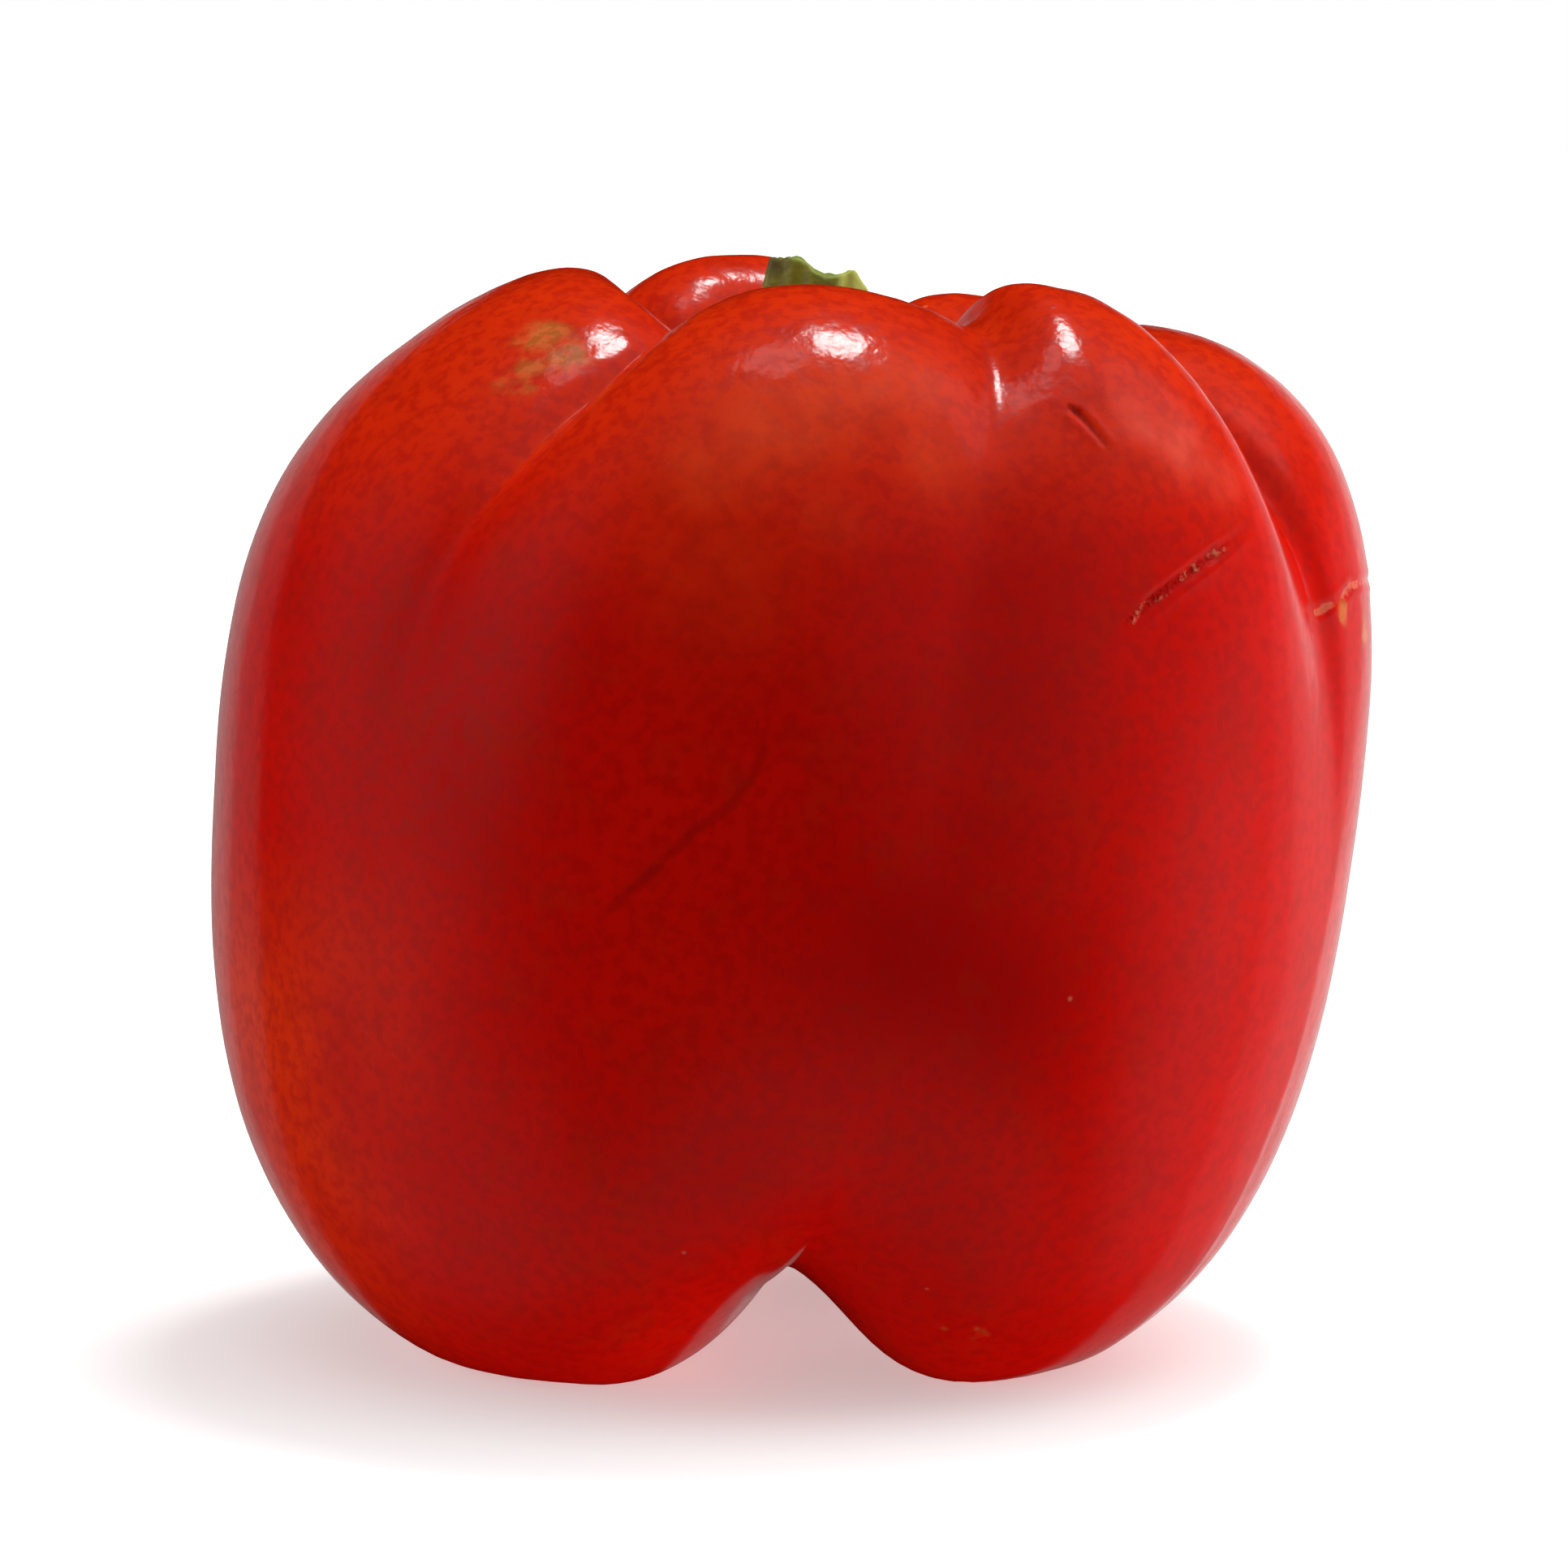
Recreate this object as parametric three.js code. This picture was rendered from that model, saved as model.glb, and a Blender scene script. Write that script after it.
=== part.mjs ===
// A blocky red bell pepper, as picked: the fruit, the green calyx that lies in the hollow between its
// shoulders, and the short cut stem that stands on the calyx.
//
// Millimetres, +Z up. The fruit stands on its four feet at Z = 0, and -Y is the side with the widest
// smooth face. The pieces are shaped round the fruit's own axis, with angles in degrees counterclockwise
// from +X, and the whole is then placed with its origin under the middle of its outline.

import * as THREE from "three";

// ---------------------------------------------------------------- the fruit

// The hollow that the stem grows from, and the arch between the feet, both on the axis.
const HOLLOW_HEIGHT = 74;
const ARCH_HEIGHT = 14;

// A meridian of the fruit is a soft curve inside a cage of [radius, height] points. Each side of the
// fruit has its own cage: from the floor of the hollow up its wall and over the shoulder, down past the
// belly, and in under the foot. Between two sides the cages pass smoothly into each other.
const ROWS = [
  "floor", "wall", "rim", "brow", "shoulder", "chest", "belly", "flank", "heel", "foot", "instep",
];
const SIDES = {
  right: [
    [9, 74], [15, 76], [20, 81], [29, 83.5], [41.2, 78.5], [47.5, 64.5],
    [46, 43], [42.8, 22.5], [36, 6], [22, -4], [9, 4],
  ],
  back: [
    [8.5, 74], [13, 76], [16, 84], [23.5, 90], [34, 81], [41, 66],
    [43.5, 45], [41.5, 23], [35, 6], [21, -4], [9, 4],
  ],
  left: [
    [8.5, 74], [12.5, 76], [13, 86.5], [20.5, 88.1], [33.6, 80.5], [45.3, 67.5],
    [47.8, 44], [47.8, 22], [40.3, 4], [25.5, -4], [10, 4],
  ],
  front: [
    [8.5, 74], [12.5, 76], [14, 83], [20.5, 88], [33, 82], [42.5, 67],
    [45, 45], [43, 23], [36, 6], [21, -4], [10, 4],
  ],
};

// Creases part the fruit into six shoulders round the hollow and four feet below. At each row these say
// how far a crease sinks there, as [inwards, upwards]: first between two shoulders, then between two feet.
const SHOULDER_SINK = [
  [0, 0], [0, 0], [0, -4], [1.5, -6], [4.6, -3.8], [2, 0],
  [0.3, 0], [0, 0], [0, 0], [0, 0], [0, 0],
];
const FOOT_SINK = [
  [0, 0], [0, 0], [0, 0], [0, 0], [0, 0], [0.5, 0],
  [1.5, 0], [2.4, 1], [4.5, 7], [3, 16], [0, 6.5],
];

// The creases in order, each named for the shoulder that follows it. A crease wanders from its angle at
// the rim to the one on the belly and the one at the ground. Its depths are shares of the sinks above; a
// crease with no foot depth only parts two shoulders. The shoulder's rise lifts it above its side's cage.
const CREASES = [
  { name: "frontRight", rim: 310.5, belly: 286, ground: 269.4, shoulder: 0.5, foot: 1, rise: 3.1 },
  { name: "right", rim: 333, belly: 338, ground: 325, shoulder: 1.2, foot: 0, rise: 0 },
  { name: "backRight", rim: 31.5, belly: 24, ground: 12, shoulder: 1, foot: 0.7, rise: -2 },
  { name: "backLeft", rim: 72, belly: 80, ground: 90, shoulder: 0.8, foot: 1, rise: 0 },
  { name: "left", rim: 130.5, belly: 150, ground: 162, shoulder: 1, foot: 0.7, rise: 0 },
  { name: "frontLeft", rim: 243, belly: 226, ground: 222, shoulder: 1.1, foot: 0, rise: 0.2 },
];
const FOOT_CREASES = CREASES.filter((crease) => crease.foot > 0);
const SHOULDER_FOLD = 18; // how tight the crease between two shoulders is
const FOOT_FOLD = 3.5; // and between two feet
const FULLNESS = 2.5; // a swelling falls off with this power of the distance from its middle

const AROUND = 80; // columns of the fruit's mesh; every rim angle above falls on one
const DOWN = 44; // rows of the fruit's mesh

// ------------------------------------------------------- the calyx and stem

const CLEARANCE = 0.4; // between one piece and the next
const CALYX_THICKNESS = 1.8;
const CALYX_TEETH = 6;
const CALYX_REACH = 2.0; // how far out over the floor of the hollow the calyx spreads, in cage rows
const CALYX_TOOTH = 0.22; // how much further its teeth reach, in cage rows
const CALYX_COLUMNS = 60;
const CALYX_ROWS = 8;
const COLLAR_RADIUS = 9;
const COLLAR_HEIGHT = 3;

const STEM_HEIGHT = 87.9; // the high side of the cut end
const CUT_DROP = 1.6; // how much lower the other side of the cut end is
const STEM_LEAN = 1.7; // how far the cut end stands to +X of the axis
const STEM_RADII = [5.6, 4.5, 4.05, 3.95, 3.95]; // from the collar to the cut end
const STEM_RIBS = 5;
const STEM_RIB_DEPTH = 0.05; // as a share of the radius
const STEM_SIDES = 40;
const STEM_STEPS = 12;

// ------------------------------------------------------------------ helpers

const mix = (a, b, t) => a + (b - a) * t;
const turned = (degrees) => THREE.MathUtils.euclideanModulo(degrees, 360);
const smooth = (t) => {
  const c = THREE.MathUtils.clamp(t, 0, 1);
  return c * c * (3 - 2 * c);
};

// The uniform cubic B-spline's four weights at a share t of the way from one cage point to the next.
function splineWeights(t) {
  const r = 1 - t;
  const weights = [r ** 3, 3 * t ** 3 - 6 * t ** 2 + 4, 3 * r ** 3 - 6 * r ** 2 + 4, t ** 3];
  return weights.map((w) => w / 6);
}

// -------------------------------------------------------- shape of the fruit

const LAST_ROW = ROWS.length + 1; // cage rows run from 0 at the hollow's middle to this at the arch's
const RIM_ROW = 1 + ROWS.indexOf("rim");
const BELLY_ROW = 1 + ROWS.indexOf("belly");
const FOOT_ROW = 1 + ROWS.indexOf("foot");
const SIDE_CAGES = [SIDES.right, SIDES.back, SIDES.left, SIDES.front];

// A crease's angle at a cage row: it wanders from the rim to the belly, and from there to the ground.
function creaseAngle(crease, row) {
  const upper = smooth((row - RIM_ROW) / (BELLY_ROW - RIM_ROW));
  const lower = smooth((row - BELLY_ROW) / (FOOT_ROW - BELLY_ROW));
  return mix(mix(crease.rim, crease.belly, upper), crease.ground, lower);
}

// How a ring of swellings parted by creases stands at an angle: how far the point is sunk between them,
// as a share of the full sink, and how far its swelling rises.
function swellings(ring, kind, fold, angle, row) {
  const starts = ring.map((crease) => creaseAngle(crease, row));
  const parts = ring.map((crease, i) => {
    const next = (i + 1) % ring.length;
    const width = turned(starts[next] - starts[i]);
    const across = (turned(angle - starts[i] - width / 2 + 180) - 180) / (width / 2);
    const depth = mix(crease[kind], ring[next][kind], smooth((across + 1) / 2));
    return { depth, rise: crease.rise, swell: Math.exp(fold * (1 - Math.abs(across) ** FULLNESS)) };
  });
  const total = parts.reduce((sum, part) => sum + part.swell, 0);
  const average = (key) => parts.reduce((sum, part) => sum + (part[key] * part.swell) / total, 0);
  return { sunk: average("depth") * Math.max(0, 1 - Math.log(total) / fold), rise: average("rise") };
}

// One point of the cage, [radius, height], at an angle round the fruit.
function cagePoint(index, angle, shoulder, foot) {
  if (index === 0 || index === LAST_ROW) {
    return [0, index === 0 ? HOLLOW_HEIGHT : ARCH_HEIGHT];
  }
  const row = index - 1;
  const quarter = turned(angle) / 90;
  const side = Math.floor(quarter) % 4;
  const share = smooth(quarter - Math.floor(quarter));
  const value = (k) => {
    const plain = mix(SIDE_CAGES[side][row][k], SIDE_CAGES[(side + 1) % 4][row][k], share);
    const sign = k === 0 ? -1 : 1;
    return plain + sign * (shoulder.sunk * SHOULDER_SINK[row][k] + foot.sunk * FOOT_SINK[row][k]);
  };
  const rise = shoulder.rise * Math.max(0, 1 - Math.abs(index - RIM_ROW - 0.5) / 2);
  return [value(0), value(1) + rise];
}

// The point of the skin at an angle and a cage row, which may be fractional.
function skinPoint(angle, at) {
  const shoulder = swellings(CREASES, "shoulder", SHOULDER_FOLD, angle, at);
  const foot = swellings(FOOT_CREASES, "foot", FOOT_FOLD, angle, at);
  const first = Math.min(Math.floor(at), LAST_ROW - 1);
  let radius = 0;
  let height = 0;
  splineWeights(at - first).forEach((weight, i) => {
    const index = first - 1 + i;
    const past = index < 0 || index > LAST_ROW;
    const inside = index > LAST_ROW ? 2 * LAST_ROW - index : Math.abs(index);
    const [r, z] = cagePoint(inside, angle, shoulder, foot);
    radius += weight * (past ? -r : r);
    height += weight * z;
  });
  const a = THREE.MathUtils.degToRad(angle);
  return new THREE.Vector3(radius * Math.cos(a), radius * Math.sin(a), height);
}

// The outward normal of the skin, from a small step along it each way.
function skinNormal(angle, at) {
  const step = 0.05;
  const turn = 1;
  const down = skinPoint(angle, at + step).sub(skinPoint(angle, at - step));
  const round = skinPoint(angle + turn, at).sub(skinPoint(angle - turn, at));
  return down.cross(round).normalize();
}

// The angle at a cage row of the mesh column that starts at an angle on the rim. Columns wander with
// the creases beside them, so that a crease's lowest line always runs along a column.
function columnAngle(start, row) {
  const i = CREASES.findIndex((crease, k) => {
    const next = CREASES[(k + 1) % CREASES.length];
    return turned(start - crease.rim) < turned(next.rim - crease.rim);
  });
  const [from, to] = [CREASES[i], CREASES[(i + 1) % CREASES.length]];
  const share = turned(start - from.rim) / turned(to.rim - from.rim);
  const [low, high] = [creaseAngle(from, row), creaseAngle(to, row)];
  return low + share * turned(high - low);
}

// A sphere's vertices moved onto the skin. The feet are pressed flat where they meet the ground.
function fruitGeometry() {
  const geometry = new THREE.SphereGeometry(1, AROUND, DOWN);
  geometry.rotateX(Math.PI / 2);
  const positions = geometry.attributes.position;
  const v = new THREE.Vector3();
  for (let i = 0; i < positions.count; i++) {
    v.fromBufferAttribute(positions, i);
    const column = Math.round((Math.atan2(v.y, v.x) / (2 * Math.PI)) * AROUND);
    const at = (Math.acos(THREE.MathUtils.clamp(v.z, -1, 1)) / Math.PI) * LAST_ROW;
    const p = skinPoint(columnAngle((column * 360) / AROUND, at), at);
    positions.setXYZ(i, p.x, p.y, Math.max(0, p.z));
  }
  return geometry;
}

// ---------------------------------------------------------------- calyx

// A closed skin of rings: each ring is a list of points, and each end is closed by its middle point.
function closedRings(rings, firstMiddle, lastMiddle) {
  const sides = rings[0].length;
  const index = [];
  const at = (ring, side) => 1 + ring * sides + (side % sides);
  const end = 1 + rings.length * sides;
  for (let s = 0; s < sides; s++) {
    index.push(0, at(0, s + 1), at(0, s));
    for (let r = 0; r + 1 < rings.length; r++) {
      index.push(at(r, s), at(r, s + 1), at(r + 1, s + 1));
      index.push(at(r, s), at(r + 1, s + 1), at(r + 1, s));
    }
    index.push(end, at(rings.length - 1, s), at(rings.length - 1, s + 1));
  }
  const geometry = new THREE.BufferGeometry().setFromPoints([firstMiddle, ...rings.flat(), lastMiddle]);
  geometry.setIndex(index);
  return geometry;
}

// The calyx's edge, in cage rows: a ring of blunt teeth that lie up the wall of the hollow.
const calyxEdge = (angle) => {
  const wave = Math.cos(THREE.MathUtils.degToRad(angle * CALYX_TEETH));
  return CALYX_REACH + CALYX_TOOTH * wave;
};

// The collar swells up out of the calyx round the axis, to carry the stem.
const collarHeight = (radius) => COLLAR_HEIGHT * (1 - smooth(radius / COLLAR_RADIUS - 0.35));

const floorHeight = () => skinPoint(0, 0).z;

function calyxGeometry() {
  const angles = Array.from({ length: CALYX_COLUMNS }, (_, i) => (i * 360) / CALYX_COLUMNS);
  const ring = (share, height, collar) =>
    angles.map((angle) => {
      const at = calyxEdge(angle) * share;
      const p = skinPoint(angle, at).addScaledVector(skinNormal(angle, at), height);
      p.z += collar * collarHeight(Math.hypot(p.x, p.y));
      return p;
    });
  const under = [];
  const over = [];
  for (let r = 1; r <= CALYX_ROWS; r++) {
    const share = r / CALYX_ROWS;
    const thickness = CALYX_THICKNESS * (1 - 0.5 * share);
    under.push(ring(share, CLEARANCE, 0));
    over.unshift(ring(share, CLEARANCE + thickness, 1));
  }
  const low = new THREE.Vector3(0, 0, floorHeight() + CLEARANCE);
  const high = low.clone().setZ(low.z + CALYX_THICKNESS + COLLAR_HEIGHT);
  return closedRings([...under, ...over], low, high);
}

// ----------------------------------------------------------------- stem

// The cut end slopes down to +X.
const cutHeight = (x) => {
  const width = 2 * STEM_RADII[STEM_RADII.length - 1];
  return STEM_HEIGHT - CUT_DROP * smooth((x - STEM_LEAN) / width + 0.5);
};

function stemRadius(t) {
  const place = t * (STEM_RADII.length - 1);
  const i = Math.min(Math.floor(place), STEM_RADII.length - 2);
  return mix(STEM_RADII[i], STEM_RADII[i + 1], place - i);
}

function stemGeometry() {
  const base = floorHeight() + 2 * CLEARANCE + CALYX_THICKNESS + COLLAR_HEIGHT;
  const rings = [];
  for (let s = 0; s <= STEM_STEPS; s++) {
    const t = s / STEM_STEPS;
    rings.push(
      Array.from({ length: STEM_SIDES }, (_, i) => {
        const a = (i * 2 * Math.PI) / STEM_SIDES;
        const r = stemRadius(t) * (1 + STEM_RIB_DEPTH * Math.cos(a * STEM_RIBS));
        const x = STEM_LEAN * t + r * Math.cos(a);
        return new THREE.Vector3(x, r * Math.sin(a), mix(base, cutHeight(x), t));
      }),
    );
  }
  const foot = new THREE.Vector3(0, 0, base);
  const tip = new THREE.Vector3(STEM_LEAN, 0, cutHeight(STEM_LEAN));
  return closedRings(rings, foot, tip);
}

// -------------------------------------------------------------- assembly

function piece(name, geometry, color, roughness) {
  const mesh = new THREE.Mesh(geometry, new THREE.MeshStandardMaterial({ color, roughness, metalness: 0 }));
  mesh.name = name;
  return mesh;
}

const pepper = new THREE.Group();
pepper.add(piece("fruit", fruitGeometry(), 0xb01505, 0.25));
pepper.add(piece("calyx", calyxGeometry(), 0x4f7a1e, 0.5));
pepper.add(piece("stem", stemGeometry(), 0x64801c, 0.55));

const middle = new THREE.Box3().setFromObject(pepper).getCenter(new THREE.Vector3());
pepper.position.set(-middle.x, -middle.y, 0);

export default pepper;
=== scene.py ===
# %% [markdown]
# # A red bell pepper on its feet
#
# This lesson gives a measured model of a bell pepper its looks. The measured model, called the frame here,
# already has the right size and place for three pieces: the fruit, the green calyx in the hollow on top,
# and the cut stub of the stem. Each piece is made again with finer shape and a skin of its own, on exactly
# the same spot. Everything is in metres, with +Z up and -Y towards the viewer.

# %% Load the frame
import math

import bmesh
import bpy
import numpy as np
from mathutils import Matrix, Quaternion, Vector, noise


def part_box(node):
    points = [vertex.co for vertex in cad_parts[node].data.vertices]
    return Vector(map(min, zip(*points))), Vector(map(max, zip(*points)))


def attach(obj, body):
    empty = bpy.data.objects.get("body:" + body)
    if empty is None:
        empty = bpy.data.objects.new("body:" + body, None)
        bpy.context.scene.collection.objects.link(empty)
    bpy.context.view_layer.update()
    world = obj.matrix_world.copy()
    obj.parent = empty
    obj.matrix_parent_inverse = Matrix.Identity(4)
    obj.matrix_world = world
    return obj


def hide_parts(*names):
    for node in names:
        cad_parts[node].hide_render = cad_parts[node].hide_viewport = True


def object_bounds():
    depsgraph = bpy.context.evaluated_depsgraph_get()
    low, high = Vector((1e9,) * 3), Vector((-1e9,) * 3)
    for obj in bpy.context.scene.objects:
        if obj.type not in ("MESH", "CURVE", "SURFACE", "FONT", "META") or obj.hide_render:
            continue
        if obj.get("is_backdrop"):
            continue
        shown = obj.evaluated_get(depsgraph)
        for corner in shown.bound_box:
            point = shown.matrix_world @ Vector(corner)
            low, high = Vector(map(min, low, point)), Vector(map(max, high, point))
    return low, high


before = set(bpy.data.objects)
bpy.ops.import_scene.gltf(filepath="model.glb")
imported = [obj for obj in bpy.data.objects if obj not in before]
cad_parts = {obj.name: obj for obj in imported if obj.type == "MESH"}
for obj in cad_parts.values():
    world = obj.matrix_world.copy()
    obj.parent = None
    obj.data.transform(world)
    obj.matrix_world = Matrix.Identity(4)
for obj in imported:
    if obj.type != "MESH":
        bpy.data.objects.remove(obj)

MM = 0.001
frame_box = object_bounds()
low_corner, high_corner = frame_box
print("the frame's nodes are", sorted(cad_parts))
print("its size in mm is", [round(side / MM, 1) for side in high_corner - low_corner])

# %% [markdown]
# ## Reading the fruit's net
#
# The frame's fruit is a net of rings, from the middle of the hollow on top, out over the shoulders, down the
# sides and in under the feet. Its columns run along the folds between the lobes. The finer skin is drawn
# through the same knots, so it can't drift from the measured shape. The rings are found by walking: the
# first is what touches the top knot, the next is what touches that, and so on down to the last knot.

# %% Find the rings and put each in order
def rings_from_the_top(mesh):
    """The knots of a net of rings, as an array of rows, columns and places, with the top knot first."""
    walk = bmesh.new()
    walk.from_mesh(mesh)
    bmesh.ops.remove_doubles(walk, verts=walk.verts, dist=1e-6)
    ends = sorted(walk.verts, key=lambda knot: -len(knot.link_edges))[:2]
    top, bottom = sorted(ends, key=lambda knot: -knot.co.z)
    rings = [[top]]
    seen = {top}
    while bottom not in seen:
        near = {edge.other_vert(knot) for knot in rings[-1] for edge in knot.link_edges}
        rings.append(sorted(near - seen, key=lambda knot: knot.index))
        seen |= near
    columns = len(rings[1])
    net = [np.tile(top.co, (columns, 1))]
    before = np.arange(columns) * math.tau / columns
    for ring in rings[1:-1]:
        places = np.array([knot.co[:] for knot in ring])
        angles = np.arctan2(places[:, 1] - top.co.y, places[:, 0] - top.co.x)
        order = np.argsort(angles)
        turned = [np.roll(order, shift) for shift in range(columns)]
        misses = [np.abs(np.exp(1j * angles[turn]) - np.exp(1j * before)).sum() for turn in turned]
        best = turned[int(np.argmin(misses))]
        net.append(places[best])
        before = angles[best]
    net.append(np.tile(bottom.co, (columns, 1)))
    walk.free()
    return np.array(net)


net = rings_from_the_top(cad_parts["fruit"].data)
ROWS = net.shape[0] - 1
COLUMNS = net.shape[1]
print("the net has", ROWS, "rows and", COLUMNS, "columns")

# %% [markdown]
# ## A smooth skin through the net
#
# A glossy skin shows the smallest kink as a broken reflection, so straight lines between the knots won't do.
# A cubic B-spline bends evenly, but it passes a little inside its knots. The knots are therefore pushed out
# first, again and again by what the curve still misses. Past either end of the net the rows carry on down
# the far side, so the skin is just as smooth in the middle of the hollow.

# %% Push the knots out until the curve passes through the net
PUSHES = 14


def with_far_rows(knots):
    """The knots with two more rows past each end, taken from the far side."""
    far = [np.roll(knots[row], COLUMNS // 2, axis=0) for row in (2, 1, -2, -3)]
    return np.concatenate([far[:2], knots, far[2:]])


def curve_at_knots(knots):
    """Where the B-spline passes its knots."""
    tall = with_far_rows(knots)
    down = (tall[1:-3] + 4 * tall[2:-2] + tall[3:-1]) / 6
    return (np.roll(down, 1, axis=1) + 4 * down + np.roll(down, -1, axis=1)) / 6


controls = net.copy()
for _ in range(PUSHES):
    controls += net - curve_at_knots(controls)
miss = np.abs(curve_at_knots(controls) - net).max()
print("the curve passes the knots within", round(miss / MM, 3), "mm")

# %% Any place on the skin, and the way out from it
def spline_weights(share):
    """The cubic B-spline's four weights at a share of the way from one knot to the next."""
    rest = 1 - share
    weights = [rest**3, 3 * share**3 - 6 * share**2 + 4, 3 * rest**3 - 6 * rest**2 + 4, share**3]
    return np.array(weights) / 6


def skin_places(columns, rows):
    """Places on the skin, for arrays of columns and rows that may be fractional."""
    tall = with_far_rows(controls)
    first_row = np.clip(np.floor(rows), 0, ROWS - 1).astype(int)
    first_column = np.floor(columns).astype(int)
    down = spline_weights(rows - first_row)
    across = spline_weights(columns - first_column)
    places = np.zeros((len(rows), 3))
    for i in range(4):
        for j in range(4):
            knots = tall[first_row + i + 1, (first_column + j - 1) % COLUMNS]
            places += (down[i] * across[j])[:, None] * knots
    return places


def skin_normals(columns, rows, step=0.15):
    """The way out of the skin at the same places."""
    down = skin_places(columns, rows + step) - skin_places(columns, rows - step)
    around = skin_places(columns + step, rows) - skin_places(columns - step, rows)
    out = np.cross(down, around)
    return out / np.linalg.norm(out, axis=1, keepdims=True)


def smooth(value, low, high):
    """0 below low, 1 above high, and an easy slope between them."""
    share = np.clip((value - low) / (high - low), 0, 1)
    return share * share * (3 - 2 * share)


# %% [markdown]
# ## The marks of a life on the plant
#
# No pepper is flawless. This one has a short slit, a long gouge that has healed rough, a faint crease where
# it once leaned on a leaf, and a crack by a fold. Each is a line of a few places on the skin. How near a
# point is to such a line serves twice: the shape is cut with it, and it is kept on the mesh as an attribute,
# so the colour of the mark lies exactly in its groove.

# %% Where the marks run
MARK_REACH = 3 * MM
MARKS = {
    "slit": [(20.9, -29.3, 77.5), (22.3, -29.9, 76.0), (23.7, -30.5, 74.2)],
    "gouge": [(25.1, -34.7, 61.8), (27.3, -33.3, 63.5), (29.6, -31.3, 65.0), (31.8, -29.0, 66.4),
              (34.3, -25.3, 68.1)],
    "crease": [(-13.1, -41.4, 41.2), (-10.4, -42.1, 43.7), (-7.4, -42.5, 46.7), (-4.4, -42.7, 49.0),
               (-3.0, -42.6, 50.6), (-2.0, -42.5, 53.0)],
    "crack": [(41.2, -15.2, 60.7), (43.1, -12.3, 61.6), (44.3, -10.0, 62.4), (46.0, -4.6, 62.4),
              (46.6, 1.0, 62.0)],
}


def nearness(places, line):
    """1 on the line, falling evenly to 0 at a mark's reach, and the share of the line that lies behind."""
    stops = np.array(line) * MM
    lengths = np.linalg.norm(stops[1:] - stops[:-1], axis=1)
    least = np.full(len(places), np.inf)
    along = np.zeros(len(places))
    for start, end, before in zip(stops, stops[1:], np.cumsum(lengths) - lengths):
        run = end - start
        share = np.clip((places - start) @ run / (run @ run), 0, 1)
        gap = np.linalg.norm(places - start - share[:, None] * run, axis=1)
        along = np.where(gap < least, (before + share * np.linalg.norm(run)) / lengths.sum(), along)
        least = np.minimum(gap, least)
    return np.clip(1 - least / MARK_REACH, 0, 1), along


for mark, line in MARKS.items():
    stops = np.array(line)
    print("the", mark, "is", round(np.linalg.norm(stops[1:] - stops[:-1], axis=1).sum(), 1), "mm long")

# %% [markdown]
# ## The fruit
#
# The fruit starts as a sphere, whose rings and columns already run the way the net's do. Near the marks its
# faces are cut finer, so that a groove a millimetre wide has enough points. Then every vertex moves to its
# place on the skin. Starting from a sphere keeps the surface closed at both ends and its faces facing out.

# %% Where the folds between the shoulders run
# Each fold has the column of the net that it runs along, and how strong it is next to the strongest.
FOLDS = {"front right": (69, 0.25), "right": (74, 0.8), "back right": (7, 1), "back left": (16, 1),
         "left": (29, 1), "front left": (54, 1)}


def fold_nearness(columns, rows, width=0.3):
    """Up to 1 in the bottom of the folds between the shoulders, over the rows where the folds are deep."""
    deep = smooth(rows, 6, 9) * (1 - smooth(rows, 15, 25))
    near = np.zeros(len(columns))
    for middle, strength in FOLDS.values():
        gap = np.abs((columns - middle + COLUMNS / 2) % COLUMNS - COLUMNS / 2)
        near = np.maximum(near, strength * np.exp(-((gap / width) ** 2)))
    return deep * near


# %% Start from a sphere, finer near the marks and the front folds
FINER = 4


def net_places(mesh_points):
    """The net's column and row for points of a unit sphere."""
    points = np.array([point.co[:] for point in mesh_points])
    points /= np.linalg.norm(points, axis=1, keepdims=True)
    columns = np.arctan2(points[:, 1], points[:, 0]) / math.tau * COLUMNS
    rows = np.arccos(np.clip(points[:, 2], -1, 1)) / math.pi * ROWS
    return columns, rows


fruit_mesh = bmesh.new()
bmesh.ops.create_uvsphere(fruit_mesh, u_segments=COLUMNS * FINER, v_segments=ROWS * FINER, radius=1)
places = skin_places(*net_places(fruit_mesh.verts))
detailed = sum(nearness(places, line)[0] > 0.3 for line in MARKS.values())
detailed += (fold_nearness(*net_places(fruit_mesh.verts), width=0.5) > 0.3) & (places[:, 1] < 0)
fine_edges = [edge for edge in fruit_mesh.edges if all(detailed[end.index] for end in edge.verts)]
bmesh.ops.subdivide_edges(fruit_mesh, edges=fine_edges, cuts=3, use_grid_fill=True)
bmesh.ops.triangulate(fruit_mesh, faces=[face for face in fruit_mesh.faces if len(face.verts) > 4])
print("the sphere has", len(fruit_mesh.verts), "vertices, with", len(fine_edges), "edges cut finer")

# %% [markdown]
# A lobe isn't a perfect swelling. Its skin sways gently, puckers near the top, and pulls tight into the
# folds between the shoulders. Each of these is a small push along the way out of the skin, in millimetres,
# written as a function of the place, and the pushes simply add up. The feet are left alone, since they
# stand on the ground.

# %% Sways, puckers and folds
# Each sway has a height and a wave in mm, and the seed of its pattern.
BROAD_SWAY = (0.20, 16, 3)
SMALL_SWAY = (0.05, 6, 11)
PUCKERS = (0.05, 2.0, 5)
PUCKER_HEIGHTS = (72, 80)
FOLD_DEPTH = 0.30


def sway(places, height, wave, seed):
    """A soft random swell up to about the height each way, with bumps about as wide as the wave, in mm."""
    steps = [noise.noise(Vector(place) / (wave * MM) + Vector((seed, 0, 0))) for place in places]
    return height * np.array(steps)


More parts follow.
